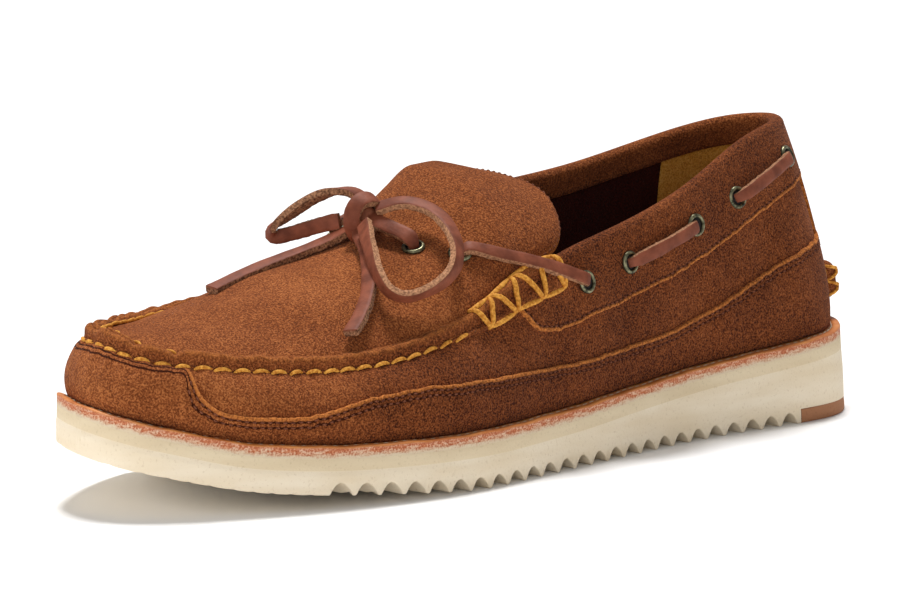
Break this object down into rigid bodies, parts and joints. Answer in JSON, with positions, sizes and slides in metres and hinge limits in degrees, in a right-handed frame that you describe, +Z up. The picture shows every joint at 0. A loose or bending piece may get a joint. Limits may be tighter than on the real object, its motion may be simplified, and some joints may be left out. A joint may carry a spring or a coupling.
{
  "type": "camp moccasin",
  "caption": "Low hand-sewn leather moccasin with a raised apron seam, a lace run through brass collar eyelets and tied in a bow, and a thick ripple-tread wedge sole.",
  "frame": {"origin": "on the floor, below the middle of the shoe's bounding box", "axes": "+Z up, -Y towards the toe, +X towards the outer side of this left shoe"},
  "size_m": [0.1081, 0.2998, 0.0948],
  "materials": {
    "suede": "brown suede, short nap, slightly mottled",
    "lace": "smooth reddish-brown grain with pale raw edges",
    "welt": "natural veg-tanned leather, burnished and distressed edge",
    "sock": "dark brown smooth lining leather",
    "crepe": "matt cream crepe",
    "strip": "matt grey-cream strip",
    "insert": "matt brown heel insert",
    "old_brass": "antique green-brown brass"
  },
  "bodies": {
    "root": {"outsole": "crepe", "heel_insert": "insert", "midsole": "strip", "welt": "welt", "insole": "sock", "upper": "suede", "eyelet_outer_1": "old_brass", "eyelet_outer_2": "old_brass", "eyelet_outer_3": "old_brass", "eyelet_outer_4": "old_brass", "eyelet_outer_5": "old_brass", "eyelet_outer_a": "old_brass", "eyelet_outer_b": "old_brass", "eyelet_inner_1": "old_brass", "eyelet_inner_2": "old_brass", "eyelet_inner_3": "old_brass", "eyelet_inner_4": "old_brass", "eyelet_inner_5": "old_brass", "eyelet_inner_a": "old_brass", "eyelet_inner_b": "old_brass", "lace_outer_b_1": "lace", "lace_outer_2_3": "lace", "lace_outer_4_5": "lace", "lace_inner_b_1": "lace", "lace_inner_2_3": "lace", "lace_inner_4_5": "lace", "lace_knot": "lace", "lace_loop_outer": "lace", "lace_loop_inner": "lace"}
  },
  "joints": []
}
